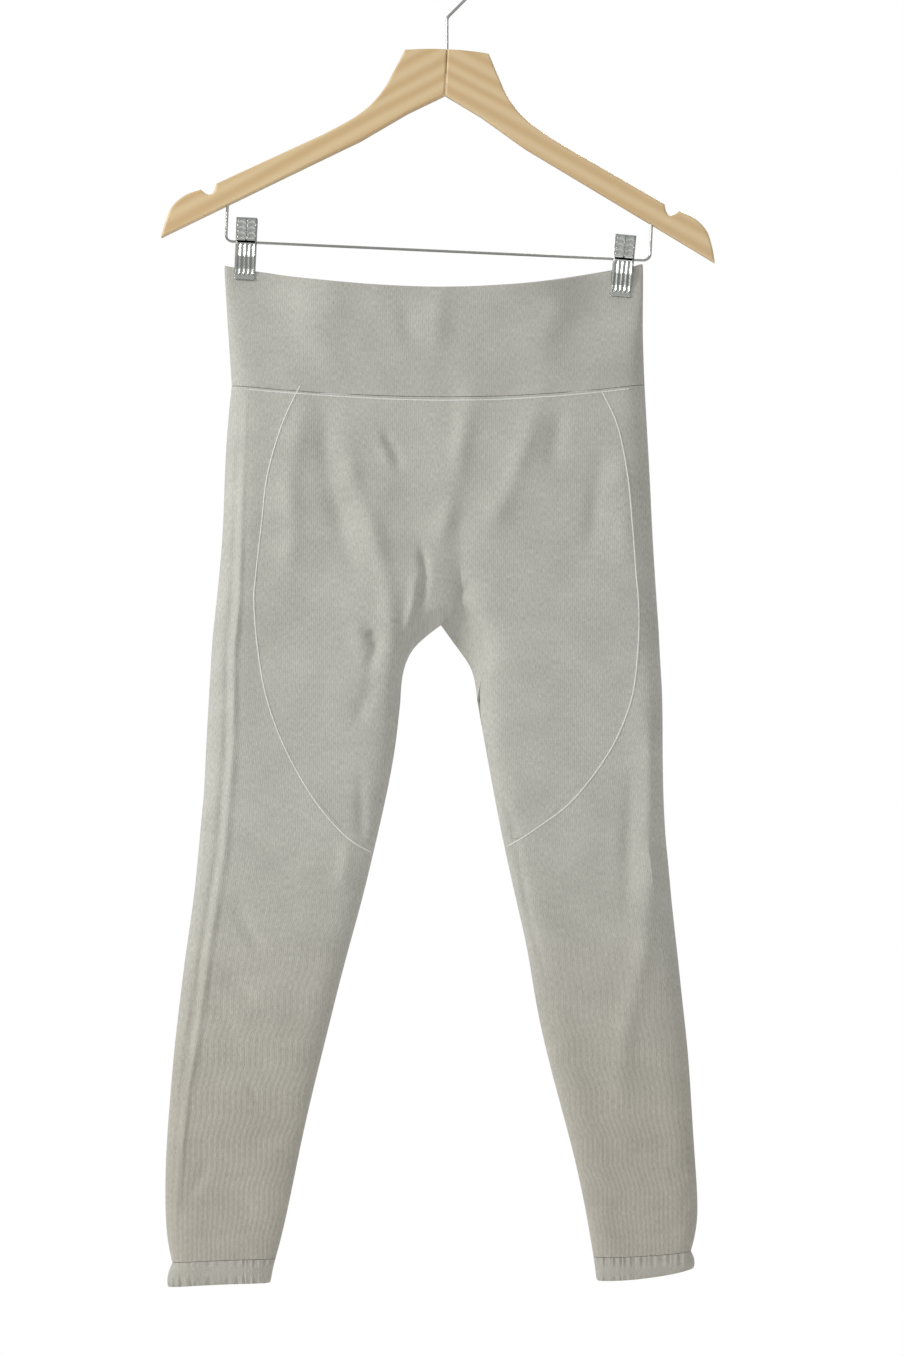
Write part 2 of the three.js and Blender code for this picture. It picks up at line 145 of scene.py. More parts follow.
def addWorld():
    world = bpy.data.worlds.new("studio")
    bpy.context.scene.world = world
    world.use_nodes = True
    nodes, links = world.node_tree.nodes, world.node_tree.links
    nodes.clear()
    output = nodes.new("ShaderNodeOutputWorld")
    seen = nodes.new("ShaderNodeBackground")
    seen.inputs["Strength"].default_value = lightSetup["backdrop"]
    seen.inputs["Color"].default_value = (1, 1, 1, 1)
    around = nodes.new("ShaderNodeBackground")
    around.inputs["Strength"].default_value = lightSetup["around"]
    place = nodes.new("ShaderNodeTexCoord")
    split = nodes.new("ShaderNodeSeparateXYZ")
    ramp = nodes.new("ShaderNodeValToRGB")
    setRamp(ramp, lightSetup["below"], lightSetup["above"])
    level = nodes.new("ShaderNodeMath")  # brings -1 to 1 into 0 to 1
    level.operation = "MULTIPLY_ADD"
    level.inputs[1].default_value = level.inputs[2].default_value = 0.5
    path = nodes.new("ShaderNodeLightPath")
    mix = nodes.new("ShaderNodeMixShader")
    links.new(place.outputs["Generated"], split.inputs[0])
    links.new(split.outputs["Z"], level.inputs[0])
    links.new(level.outputs[0], ramp.inputs[0])
    links.new(ramp.outputs[0], around.inputs["Color"])
    links.new(path.outputs["Is Camera Ray"], mix.inputs[0])
    links.new(around.outputs[0], mix.inputs[1])
    links.new(seen.outputs[0], mix.inputs[2])
    links.new(mix.outputs[0], output.inputs[0])


def addFloor():
    mesh = bpy.data.meshes.new("floor")
    shape = bmesh.new()
    bmesh.ops.create_grid(shape, x_segments=1, y_segments=1, size=floorSetup["size"])
    bmesh.ops.translate(shape, verts=shape.verts, vec=(0, 0, cadBox[0][2] - floorSetup["drop"]))
    shape.to_mesh(mesh)
    shape.free()
    floor = addObject("floor", mesh)
    material, _, shader = newMaterial("paleFloor")
    setInputs(shader, floorSetup["finish"])
    mesh.materials.append(material)


addCamera()
addWorld()
addFloor()
for part in ("key", "fill", "rim"):
    addAreaLight(part + "Light", lightSetup[part + "Place"], lightSetup[part + "Power"])
bpy.context.scene.view_settings.view_transform = "Standard"
print("camera and light done")

# Shared shader effects.


def newGroup(name, inputs, outputs):
    group = bpy.data.node_groups.new(name, "ShaderNodeTree")
    for label, kind, value in inputs:
        socket = group.interface.new_socket(label, in_out="INPUT", socket_type=kind)
        if value is not None:
            socket.default_value = value
    for label, kind in outputs:
        group.interface.new_socket(label, in_out="OUTPUT", socket_type=kind)
    start = group.nodes.new("NodeGroupInput")
    end = group.nodes.new("NodeGroupOutput")
    return group, start, end


def addMath(group, operation, first, second=None, third=None):
    node = group.nodes.new("ShaderNodeMath")
    node.operation = operation
    for index, value in enumerate((first, second, third)):
        if value is None:
            continue
        if isinstance(value, (int, float)):
            node.inputs[index].default_value = value
        else:
            group.links.new(value, node.inputs[index])
    return node.outputs[0]


def addScaled(group, vector, scale):
    node = group.nodes.new("ShaderNodeMapping")
    node.inputs["Scale"].default_value = scale
    group.links.new(vector, node.inputs["Vector"])
    return node.outputs["Vector"]


def addNoise(group, vector, scale, detail=2.0, roughness=0.55):
    node = group.nodes.new("ShaderNodeTexNoise")
    node.inputs["Scale"].default_value = scale
    node.inputs["Detail"].default_value = detail
    node.inputs["Roughness"].default_value = roughness
    group.links.new(vector, node.inputs["Vector"])
    return node.outputs["Fac"]


def addWave(group, value, length):
    return addMath(group, "SINE", addMath(group, "MULTIPLY", value, 2 * math.pi / length))


def addRamp(tree, value, low, high):
    ramp = tree.nodes.new("ShaderNodeValToRGB")
    setRamp(ramp, low, high)
    tree.links.new(value, ramp.inputs[0])
    return ramp.outputs[0]


def addEffect(tree, group, vector):
    effect = tree.nodes.new("ShaderNodeGroup")
    effect.node_tree = group
    tree.links.new(vector, effect.inputs["Vector"])
    return effect


def addRelief(tree, shader, height, strength, distance):
    relief = tree.nodes.new("ShaderNodeBump")
    relief.inputs["Strength"].default_value = strength
    relief.inputs["Distance"].default_value = distance
    tree.links.new(height, relief.inputs["Height"])
    tree.links.new(relief.outputs[0], shader.inputs["Normal"])


# Lengths are in metres, and a share is how much an effect counts.
knitSetup = {
    "fleck": (900, 260, 1),   # light and dark yarn, finer across than along
    "fleckShare": 0.75,
    "cloud": 28.0,            # wide patches, a little lighter or darker
    "wale": 0.0016,
    "waleShare": 0.3,
    "course": 0.0013,
    "courseShare": 0.15,
    "rib": 0.0055,
    "relief": 0.0004,
    "yarnStops": (0.3, 0.7),  # where the dark yarn ends and the light yarn begins
    "calfTone": (0.87, 0.83, 0.79, 1),
    "finish": {"Roughness": 0.85, "Sheen Weight": 0.35, "Sheen Roughness": 0.45, "Specular IOR Level": 0.25},
}


def knitGroup():
    group, start, end = newGroup(
        "fineKnit",
        [("Vector", "NodeSocketVector", None), ("Rib", "NodeSocketFloat", 0.0)],
        [("Marl", "NodeSocketFloat"), ("Stitch", "NodeSocketFloat")],
    )
    place = start.outputs["Vector"]
    fleck = addNoise(group, addScaled(group, place, knitSetup["fleck"]), 1.0, 3.0, 0.7)
    cloud = addNoise(group, place, knitSetup["cloud"], 3.0)
    clouded = addMath(group, "MULTIPLY", cloud, 1 - knitSetup["fleckShare"])
    marl = addMath(group, "MULTIPLY_ADD", fleck, knitSetup["fleckShare"], clouded)
    split = group.nodes.new("ShaderNodeSeparateXYZ")
    group.links.new(place, split.inputs[0])
    wale = addWave(group, split.outputs["X"], knitSetup["wale"])
    course = addWave(group, split.outputs["Y"], knitSetup["course"])
    ribWave = addWave(group, split.outputs["X"], knitSetup["rib"])
    courses = addMath(group, "MULTIPLY", course, knitSetup["courseShare"])
    loops = addMath(group, "MULTIPLY_ADD", wale, knitSetup["waleShare"], courses)
    ribs = addMath(group, "MULTIPLY", ribWave, start.outputs["Rib"])
    stitch = addMath(group, "ADD", addMath(group, "ADD", loops, ribs), fleck)
    group.links.new(marl, end.inputs["Marl"])
    group.links.new(stitch, end.inputs["Stitch"])
    return group


knit = knitGroup()


def knitMaterial(name, dark, light, bump, ribs=0.0):
    material, tree, shader = newMaterial(name)
    uv = tree.nodes.new("ShaderNodeUVMap")
    uv.uv_map = "cloth"
    effect = addEffect(tree, knit, uv.outputs[0])
    darkEnd, lightStart = knitSetup["yarnStops"]
    colour = addRamp(tree, effect.outputs["Marl"], (darkEnd, dark), (lightStart, light))
    if ribs:  # the calves are ribbed, and a little darker and warmer
        calf = tree.nodes.new("ShaderNodeAttribute")
        calf.attribute_name = "ribbed"
        tree.links.new(addMath(tree, "MULTIPLY", calf.outputs["Fac"], ribs), effect.inputs["Rib"])
        warmer = tree.nodes.new("ShaderNodeMix")
        warmer.data_type = "RGBA"
        warmer.blend_type = "MULTIPLY"
        warmer.inputs["B"].default_value = knitSetup["calfTone"]
        tree.links.new(calf.outputs["Fac"], warmer.inputs["Factor"])
        tree.links.new(colour, warmer.inputs["A"])
        colour = warmer.outputs["Result"]
    tree.links.new(colour, shader.inputs["Base Color"])
    addRelief(tree, shader, effect.outputs["Stitch"], bump, knitSetup["relief"])
    setInputs(shader, knitSetup["finish"])
    return material


bodyKnit = knitMaterial("bodyKnit", (0.42, 0.418, 0.375), (0.67, 0.667, 0.60), 0.35, 0.9)
bandKnit = knitMaterial("bandKnit", (0.41, 0.405, 0.365), (0.66, 0.65, 0.585), 0.3)
cuffKnit = knitMaterial("cuffKnit", (0.38, 0.367, 0.32), (0.60, 0.58, 0.51), 0.4)
# The knitted lines are given a much lighter colour than the cloth: painted highlight along their raised
# ridges, whose shape itself is real.
paintedHighlightLineKnit = knitMaterial("paintedHighlightLineKnit", (0.70, 0.70, 0.66), (0.90, 0.90, 0.86), 0.2)

# Cloth.

# Folds, in millimetres: a path of (x, z), how wide, and how far out (ridge) or in (trough).
frontFolds = [
    ([(-85, -377), (-76, -428), (-61, -463), (-50, -504), (-44, -549), (-46, -593)], 8, 1.8),
    ([(-100, -365), (-97, -421), (-82, -475), (-73, -504)], 7, -1.3),
    ([(-115, -363), (-128, -428), (-124, -463), (-129, -504)], 8, 1.3),
    ([(-52, -386), (-37, -415)], 4, -1.6),
    ([(-58, -390), (-45, -412)], 4, 1.0),
    ([(19, -363), (10, -398), (6.5, -439), (-11, -489)], 8, 1.6),
    ([(78, -356), (63, -398), (48, -439), (33, -463)], 8, 1.6),
    ([(93, -368), (84, -415)], 7, -1.3),
    ([(125, -404), (116, -480)], 7, -1.3),
    ([(140, -404), (145, -504)], 9, 1.0),
    ([(-21, -480), (-17, -504), (-21, -528)], 3.5, -2.2),
    ([(-26, -504), (-27, -522), (-33, -551)], 4, 1.8),
    ([(10, -517), (20, -511)], 3, -1.4),
    ([(-64, -546), (-57, -558), (-64, -584)], 5, -2.2),
    ([(-76, -542), (-67, -563)], 8, 1.6),
    ([(-59, -587), (-73, -620)], 6, -1.3),
    ([(-163, -360), (-166, -441), (-168, -523), (-172, -563), (-173, -645), (-180, -726), (-193, -807),
      (-198, -848), (-204, -889), (-211, -929), (-215, -970), (-219, -1011), (-222, -1043)], 2.6, 1.3),
    ([(-168, -380), (-171, -441), (-174, -523), (-178, -563), (-179, -645), (-186, -726), (-199, -807),
      (-204, -848), (-210, -889), (-217, -929)], 3, -1.1),
    ([(-173, -770), (-150, -808)], 5, -1.3),
    ([(-182, -826), (-156, -846)], 5, -1.3),
    ([(-189, -855), (-171, -870)], 4, -1.0),
    ([(-80.5, -719), (-84.5, -754)], 6, 1.2),
    ([(-70, -660), (-69, -722)], 5, -1.1),
    ([(-162, -915), (-153, -929), (-126, -941)], 3, -0.9),
    ([(-215, -962), (-180, -968), (-140, -960)], 3.5, -0.8),
    ([(-218, -985), (-178, -992), (-146, -986)], 3, -0.7),
    ([(-221, -1018), (-185, -1012), (-150, -1020)], 3.5, -0.9),
    ([(-218, -1036), (-190, -1040), (-148, -1034)], 3, -0.8),
    ([(-194, -982), (-209, -1006)], 4, -1.2),
    ([(169, -593), (166, -652), (165, -740), (158, -814), (145, -867), (140, -924)], 8, 1.7),
    ([(149, -666), (147, -720), (145, -778)], 6, -1.5),
    ([(30, -605), (36, -660), (54, -707), (66, -778), (80, -828)], 3, -1.0),
    ([(178, -989), (196, -987)], 3.5, -1.0),
    ([(190, -1018), (199, -1000)], 3.5, -1.0),
    ([(120, -965), (150, -972), (188, -962)], 3.5, -0.6),
    ([(124, -1012), (160, -1020), (195, -1010)], 3.5, -0.8),
    ([(126, -1034), (165, -1040), (190, -1032)], 3, -0.7),
    ([(-5, -267), (-10, -330)], 9, 1.1),
    ([(-35, -285), (-28, -318)], 8, -1.0),
    ([(95, -275), (70, -335)], 12, 0.9),
    ([(-120, -270), (-90, -335)], 12, 0.8),
]
backFolds = [
    ([(-92, -372), (-80, -430), (-66, -478), (-52, -530)], 9, 1.6),
    ([(-120, -365), (-126, -430), (-118, -500)], 9, -1.2),
    ([(70, -364), (58, -410), (44, -462), (24, -520)], 9, 1.6),
    ([(112, -368), (104, -430), (108, -498)], 8, -1.2),
    ([(-30, -368), (-24, -420), (-20, -470)], 7, -1.1),
    ([(20, -370), (16, -430)], 6, -1.0),
    ([(-60, -560), (-74, -600), (-70, -650)], 7, -1.5),
    ([(48, -575), (60, -610), (58, -655)], 7, -1.4),
    ([(-150, -430), (-158, -540), (-165, -660)], 8, 1.2),
    ([(150, -430), (154, -560), (152, -690)], 8, 1.3),
    ([(-170, -800), (-140, -838)], 6, -1.2),
    ([(-178, -850), (-150, -880)], 5, -1.1),
    ([(160, -790), (128, -826)], 6, -1.2),
    ([(168, -850), (140, -872)], 5, -1.0),
    ([(-215, -972), (-178, -980), (-140, -972)], 4, -0.8),
    ([(-218, -1020), (-185, -1014), (-148, -1022)], 4, -0.8),
    ([(118, -975), (150, -983), (192, -974)], 4, -0.8),
    ([(122, -1018), (160, -1024), (195, -1014)], 4, -0.8),
    ([(40, -270), (36, -335)], 10, 1.0),
    ([(-70, -275), (-60, -340)], 11, 0.9),
]

clothShape = {
    "foldGain": 1.7,
    "foldFade": 6,             # how quickly a fold grows in from its ends
    "endHeight": 0.25,         # share of its height that a fold keeps at its ends
    "unevenness": 0.8,         # of the flat parts, in millimetres
    "waves": 14,
    "waveLength": (26, 90),    # in millimetres
    "weld": 2e-5,
    "faceTurn": (35, 60),      # triangles are joined in pairs up to these angles, in degrees
    "crispTurn": 38,           # a rim that turns more than this stays crisp, in degrees
    "seamReach": 1.3,          # how wide a gap is closed in the one fabric, in millimetres
    "finer": 3,
}


def foldHeight(x, z, folds):
    total = np.zeros_like(x)
    for path, width, height in folds:
        nearest = np.full_like(x, 1e9)
        share = np.zeros_like(x)
        steps = len(path) - 1
        for index in range(steps):
            (x1, z1), (x2, z2) = path[index], path[index + 1]
            runX, runZ = x2 - x1, z2 - z1
            along = np.clip(((x - x1) * runX + (z - z1) * runZ) / (runX ** 2 + runZ ** 2), 0, 1)
            away = np.hypot(x - x1 - along * runX, z - z1 - along * runZ)
            closer = away < nearest
            nearest = np.where(closer, away, nearest)
            share = np.where(closer, (index + along) / steps, share)
        fade = np.clip(np.minimum(share, 1 - share) * clothShape["foldFade"], clothShape["endHeight"], 1)
        uneven = 0.8 + 0.2 * np.sin(z * 0.11 + height * 9)
        total += height * fade * uneven * np.exp(-((nearest / width) ** 2))
    return total


def softNoise(x, z, seed):
    generator = np.random.default_rng(seed)
    total = np.zeros_like(x)
    for _ in range(clothShape["waves"]):
        angle = generator.uniform(0, math.tau)
        wave = generator.uniform(*clothShape["waveLength"])
        phase = generator.uniform(0, math.tau)
        total += np.sin((x * math.cos(angle) + z * math.sin(angle)) * math.tau / wave + phase)
    return total / clothShape["waves"]


def mergedCopy(node, name):
    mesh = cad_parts[node].data.copy()
    mesh.name = name
    mesh.materials.clear()
    shape = bmesh.new()
    shape.from_mesh(mesh)
    bmesh.ops.remove_doubles(shape, verts=shape.verts, dist=clothShape["weld"])
    faceTurn, cornerTurn = (math.radians(angle) for angle in clothShape["faceTurn"])
    bmesh.ops.join_triangles(
        shape, faces=shape.faces, angle_face_threshold=faceTurn, angle_shape_threshold=cornerTurn
    )
    return mesh, shape


def coordinates(mesh):
    values = np.empty(len(mesh.vertices) * 3)
    mesh.vertices.foreach_get("co", values)
    return values.reshape(-1, 3)


def applied(piece):
    depsgraph = bpy.context.evaluated_depsgraph_get()
    mesh = bpy.data.meshes.new_from_object(piece.evaluated_get(depsgraph))
    piece.modifiers.clear()
    piece.data = mesh
    return piece


# In metres: a leg is read from this height down, in steps, each over a reach above and below.
legReading = {"top": -0.62, "step": 0.02, "reach": 0.028}


# Height, left edge and right edge of each leg, from the hem up.
def readLegs():
    lines = {}
    for side in ("left", "right"):
        points = np.vstack([coordinates(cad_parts[n].data) for n in (f"leg_{side}", f"cuff_{side}")])
        levels = np.arange(legReading["top"], points[:, 2].min(), -legReading["step"])
        rows = []
        for level in levels:
            near = points[np.abs(points[:, 2] - level) < legReading["reach"]]
            rows.append((level, near[:, 0].min(), near[:, 0].max()))
        lines[side] = np.array(rows)[::-1]
    return lines


legLines = readLegs()
hemZ = min(legLines[side][0, 0] for side in legLines)

# In metres: how the knit lies on the legs, and where the calf's ribs fade in.
knitLie = {
    "legWidth": 0.135,   # the knit runs with the leg, as if it were this wide all the way down
    "legFrom": -0.6,
    "legOver": 0.12,
    "depthShare": 0.6,   # so that it doesn't smear over rims and folds
    "calfFrom": -0.7,
    "calfOver": 0.25,
}


def clothUv(points, side):
    u = points[:, 0].copy()
    if side:
        line = legLines[side]
        low = np.interp(points[:, 2], line[:, 0], line[:, 1])
        high = np.interp(points[:, 2], line[:, 0], line[:, 2])
        across = (points[:, 0] - low) / (high - low) * knitLie["legWidth"]
        below = np.clip((knitLie["legFrom"] - points[:, 2]) / knitLie["legOver"], 0, 1)
        u = u * (1 - below) + (across + low.mean()) * below
    return u, points[:, 2] + knitLie["depthShare"] * points[:, 1]


knitInOne = ("front_panel", "leg_left", "leg_right", "gusset")  # one fabric: no open seam between these


def neighbourTree(node):
    others = [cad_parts[other].data for other in knitInOne if other != node]
    points = [vert.co.copy() for mesh in others for vert in mesh.vertices]
    tree = KDTree(len(points))
    for index, point in enumerate(points):
        tree.insert(point, index)
    tree.balance()
    return tree


def closeSeams(shape, node):
    tree = neighbourTree(node)
    for vert in shape.verts:
        near = [found[0] for found in tree.find_range(vert.co, clothShape["seamReach"] * mm)]
        if near:
            closest = min(near, key=lambda point: (point - vert.co).length)
            vert.co = (vert.co + closest) / 2


def makeCloth(node, setup):
    mesh, shape = mergedCopy(node, node + "Cloth")
    if node in knitInOne:
        closeSeams(shape, node)
    crease = shape.edges.layers.float.new("crease_edge")
    low, high = setup.get("creaseBetween", (-9, 9))
    for edge in shape.edges:
        if len(edge.link_faces) != 2 or edge.calc_face_angle(0) < math.radians(clothShape["crispTurn"]):
            continue
        middle = (edge.verts[0].co.z + edge.verts[1].co.z) / 2
        if low < middle < high:
            edge[crease] = 1.0
            edge.smooth = False
    shape.to_mesh(mesh)
    shape.free()
    piece = addObject(node + "Cloth", mesh)
    finer = piece.modifiers.new("finer", "SUBSURF")
    finer.levels = finer.render_levels = clothShape["finer"]
    applied(piece)
    mesh = piece.data
    points = coordinates(mesh)
    normals = np.empty(len(mesh.vertices) * 3)
    mesh.vertices.foreach_get("normal", normals)
    normals = normals.reshape(-1, 3)
    x, z = points[:, 0] / mm, points[:, 2] / mm
    facing = np.clip(np.abs(normals[:, 1]) * 1.4 - 0.4, 0, 1)  # folds leave the sides and rims alone
    front = points[:, 1] < 0
    folds = np.where(front, foldHeight(x, z, frontFolds), foldHeight(x, z, backFolds))
    out = clothShape["foldGain"] * folds + clothShape["unevenness"] * softNoise(x, z, setup["seed"])
    if "pucker" in setup:
        out += setup["pucker"](x, z, front)
    moved = points.copy()
    moved[:, 1] += np.where(front, -1, 1) * out * facing * mm
    mesh.vertices.foreach_set("co", moved.ravel())
    addUv(mesh, setup.get("side"))
    smoothFaces(mesh)
    mesh.materials.append(setup["material"])
    mesh.update()
    return piece


def addUv(mesh, side):
    points = coordinates(mesh)
    u, v = clothUv(points, side)
    layer = mesh.uv_layers.new(name="cloth")
    corners = np.empty(len(mesh.loops), dtype=np.int64)
    mesh.loops.foreach_get("vertex_index", corners)
    layer.data.foreach_set("uv", np.column_stack((u[corners], v[corners])).ravel())
    ribbed = mesh.attributes.new("ribbed", "FLOAT", "POINT")
    calf = np.clip((knitLie["calfFrom"] - points[:, 2]) / knitLie["calfOver"], 0, 1)
    ribbed.data.foreach_set("value", calf)


def cuffPucker(x, z, front):
    wave = np.sin(x * 1.15 + 1.6 * np.sin(x * 0.31)) * 0.7 + np.sin(x * 2.3 + np.where(front, 0, 1)) * 0.35
    return wave * (0.5 + 0.5 * np.cos((z + hemZ / mm) * 0.3))


clothSetups = {
    "waistband": {"seed": 3, "material": bandKnit, "creaseBetween": (-9, -0.335),
                  "flat": (0.684, 0.1), "slot": "knit_band"},
    "front_panel": {"seed": 5, "material": bodyKnit, "flat": (0.29, 0.363), "area": 0.0875,
                    "slot": "knit_body"},
    "leg_left": {"seed": 7, "material": bodyKnit, "side": "left", "flat": (0.34, 0.712),
                 "area": 0.172, "slot": "knit_body"},
    "leg_right": {"seed": 11, "material": bodyKnit, "side": "right", "flat": (0.34, 0.708),
                  "area": 0.157, "slot": "knit_body"},
    "gusset": {"seed": 13, "material": bodyKnit, "flat": (0.16, 0.018), "slot": "knit_body"},
    "cuff_left": {"seed": 17, "material": cuffKnit, "side": "left", "pucker": cuffPucker,
                  "creaseBetween": (-1.066, 9), "flat": (0.175, 0.02), "slot": "knit_cuff"},
    "cuff_right": {"seed": 19, "material": cuffKnit, "side": "right", "pucker": cuffPucker,
                   "creaseBetween": (-1.059, 9), "flat": (0.165, 0.02), "slot": "knit_cuff"},
}

clothPieces = {}
for node, setup in clothSetups.items():
    piece = makeCloth(node, setup)
    clothPieces[node] = piece
    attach(piece, "root")
    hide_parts(node)
    print(node, "made,", len(piece.data.polygons), "faces")

# Knitted lines.

# Where the lines lie, in millimetres, and how thick their welt is.
lineSetups = {
    "contourLineLeft": {"side": "left", "radius": 0.6, "path": [
        (-119, -350), (-133, -380), (-145, -421), (-150, -462), (-154.5, -502), (-156, -525), (-153, -563),
        (-145.5, -604), (-130, -645), (-107, -685), (-82, -714), (-62, -727)]},
    "contourLineRight": {"side": "right", "radius": 0.6, "path": [
        (123, -350), (137.4, -380), (146, -421), (150, -462), (153, -502), (155, -525), (154.5, -563),
        (149, -604), (131.7, -645), (101.6, -685), (72, -708), (50, -722)]},
    "waistLine": {"side": None, "radius": 0.6, "path": [
        (-160, -352.6), (-130, -355.2), (-90, -358), (-40, -360.6), (3, -361.4), (45, -360.6), (90, -357.8),
        (125, -354.6), (147, -352)]},
}


def smoothPath(points, steps):
    curve = []
    ends = [points[0]] + list(points) + [points[-1]]
    for index in range(1, len(ends) - 2):
        a, b, c, d = (np.array(p) for p in ends[index - 1:index + 3])
        for t in np.arange(steps) / steps:
            curve.append(0.5 * (2 * b + (c - a) * t + (2 * a - 5 * b + 4 * c - d) * t ** 2
                                + (3 * b - a - 3 * c + d) * t ** 3))
    return curve + [np.array(points[-1])]


def tubeAlong(name, points, radius, material, sides=3):
    data = bpy.data.curves.new(name, "CURVE")
    data.dimensions = "3D"
    data.bevel_depth = radius
    data.bevel_resolution = sides
    data.use_fill_caps = True
    spline = data.splines.new("POLY")
    spline.points.add(len(points) - 1)
    for place, point in zip(spline.points, points):
        place.co = (*point, 1)
    rough = addObject(name, data)
    mesh = bpy.data.meshes.new_from_object(rough.evaluated_get(bpy.context.evaluated_depsgraph_get()))
    bpy.data.objects.remove(rough)
    smoothFaces(mesh)
    mesh.materials.clear()
    mesh.materials.append(material)
    return addObject(name, mesh)


# How far in or out the cloth's face is at a place, seen from the front (-1) or the back (1).
def onCloth(x, z, sign):
    depth = []
    for piece in clothPieces.values():
        hit, place, _, _ = piece.ray_cast(Vector((x, sign, z)), Vector((0, -sign, 0)))
        if hit:
            depth.append(place.y * sign)
    return max(depth) * sign if depth else None


lineStand = 0.1 * mm  # the middle of each line stands this far inside the cloth's face

for name, setup in lineSetups.items():
    route = []
    for x, z in smoothPath(setup["path"], 8):
        y = onCloth(x * mm, z * mm, -1)
        if y is not None:
            route.append((x * mm, y + lineStand, z * mm))
    # the lines' lighter colour is painted highlight on a real raised ridge
    line = tubeAlong(name, route, setup["radius"] * mm, paintedHighlightLineKnit, 2)
    addUv(line.data, setup["side"])
    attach(line, "root")
print("knitted lines done")

# Hanger.


woodSetup = {
    "angle": 28.5,                # how far each arm falls below level, in degrees
    "bands": {"Scale": 26.0, "Distortion": 5.0, "Detail": 3.0, "Detail Scale": 0.6},
    "alongGrain": (0.12, 1, 1),   # the grain is drawn out along the arm
    "pores": (60, 900, 900),
    "dark": (0.72, 0.505, 0.255),
    "light": (0.83, 0.63, 0.36),
    "relief": (0.12, 0.0003),     # strength, and depth in metres
    "finish": {"Roughness": 0.42, "Coat Weight": 0.25, "Coat Roughness": 0.2},
}

chromeSetup = {
    "smear": 220.0,
    "uneven": 0.16,               # how much the roughness varies
    "relief": (0.05, 0.0002),
}


def woodGroup():
    group, start, end = newGroup(
        "woodGrain",
        [("Vector", "NodeSocketVector", None)],
        [("Grain", "NodeSocketFloat"), ("Pores", "NodeSocketFloat")],
    )
    place = start.outputs["Vector"]
    bands = group.nodes.new("ShaderNodeTexWave")
    bands.wave_type = "BANDS"
    bands.bands_direction = "Y"
    setInputs(bands, woodSetup["bands"])
    group.links.new(addScaled(group, place, woodSetup["alongGrain"]), bands.inputs["Vector"])
    pores = addNoise(group, addScaled(group, place, woodSetup["pores"]), 1.0, 3.0)
    group.links.new(bands.outputs["Fac"], end.inputs["Grain"])
    group.links.new(pores, end.inputs["Pores"])
    return group


grainGroup = woodGroup()


def woodMaterial(name, angle):
    material, tree, shader = newMaterial(name)
    place = tree.nodes.new("ShaderNodeTexCoord")
    turn = tree.nodes.new("ShaderNodeMapping")
    turn.inputs["Rotation"].default_value = (math.radians(90), 0, math.radians(angle))
    tree.links.new(place.outputs["Object"], turn.inputs["Vector"])
    effect = addEffect(tree, grainGroup, turn.outputs[0])
    colour = addRamp(tree, effect.outputs["Grain"], (0, woodSetup["dark"]), (1, woodSetup["light"]))
    tree.links.new(colour, shader.inputs["Base Color"])
    addRelief(tree, shader, effect.outputs["Pores"], *woodSetup["relief"])
    setInputs(shader, woodSetup["finish"])
    return material


def chromeMaterial(name, roughness, colour):
    material, tree, shader = newMaterial(name)
    place = tree.nodes.new("ShaderNodeTexCoord")
    smear = addNoise(tree, place.outputs["Object"], chromeSetup["smear"], 3.0)
    spread = chromeSetup["uneven"]
    uneven = addMath(tree, "MULTIPLY_ADD", smear, spread, roughness - spread / 2)
    tree.links.new(uneven, shader.inputs["Roughness"])
    addRelief(tree, shader, smear, *chromeSetup["relief"])
    setInputs(shader, {"Base Color": (*colour, 1), "Metallic": 1.0})
    return material


brightWire = chromeMaterial("brightWire", 0.2, (0.46, 0.47, 0.45))
pressedSheet = chromeMaterial("pressedSheet", 0.26, (0.56, 0.58, 0.55))
leftWood = woodMaterial("leftWood", woodSetup["angle"])
rightWood = woodMaterial("rightWood", -woodSetup["angle"])


def finishNode(node, material):
    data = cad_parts[node].data
    data.materials.clear()
    data.materials.append(material)


finishNode("hanger_arm_left", leftWood)
finishNode("hanger_arm_right", rightWood)

hangerTilt = math.radians(2.6)  # the bar falls a little to the right

# Lengths are in millimetres.
clipSetup = {
    "width": 17.0,
    "sheet": 0.7,
    "stand": 0.45,       # how far the plate stands off the inner face
    "across": 40,        # faces across and down each plate
    "down": 100,
    "press": 0.55,       # depth of the waves above the bar and the flutes below it
    "wavePitch": 4.4,
    "flutePitch": 3.6,
    "lip": 0.9,
    "roll": 1.1,         # how far the side edges roll in
    "earRadius": 2.8,
    "earSheet": 0.8,
    "earReach": 3.5,
    "rounding": 0.15,
    "lean": {"left": 0.0, "right": math.radians(2.6)},
    # inner face of a jaw: height above the bar, and distance from the middle
    "profile": [(19.5, 6.4), (9, 4.2), (3, 3.2), (-3, 3.2), (-11, 4.2), (-21, 2.9), (-29.8, 2.75)],
    "ear": {"front": 6.4, "back": 7.8},
}


def clipPlace(side):
    low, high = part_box(f"clip_{side}_spring")
    middle = [(a + b) / 2 for a, b in zip(low, high)]
    return Matrix.Translation(middle) @ Matrix.Rotation(hangerTilt + clipSetup["lean"][side], 4, "Y")


def pressing(x, z):
    half = clipSetup["width"] / 2
    press = clipSetup["press"]
    bow = 1.1 * np.cos(x * math.pi / 4.2)
    waves = press * np.sin((z - 3) * math.tau / clipSetup["wavePitch"] + bow) * (np.abs(x) < 7)
    waves *= np.abs(x) > 0.8  # a plain strip down the middle
    flutes = press * np.cos(x * math.tau / clipSetup["flutePitch"]) * (np.abs(x) < 7.3)
    top = np.clip((z - 2.2) / 0.8, 0, 1) * np.clip((18.8 - z) / 0.8, 0, 1)
    bottom = np.clip((-1.2 - z) / 0.8, 0, 1) * np.clip((z + 26.5) / 1.5, 0, 1)
    lip = clipSetup["lip"] * np.clip((-27.3 - z) / 2.5, 0, 1)
    side = -clipSetup["roll"] * np.clip((np.abs(x) - half + 0.9) / 0.9, 0, 1) ** 2
    return waves * top + flutes * bottom + lip + side


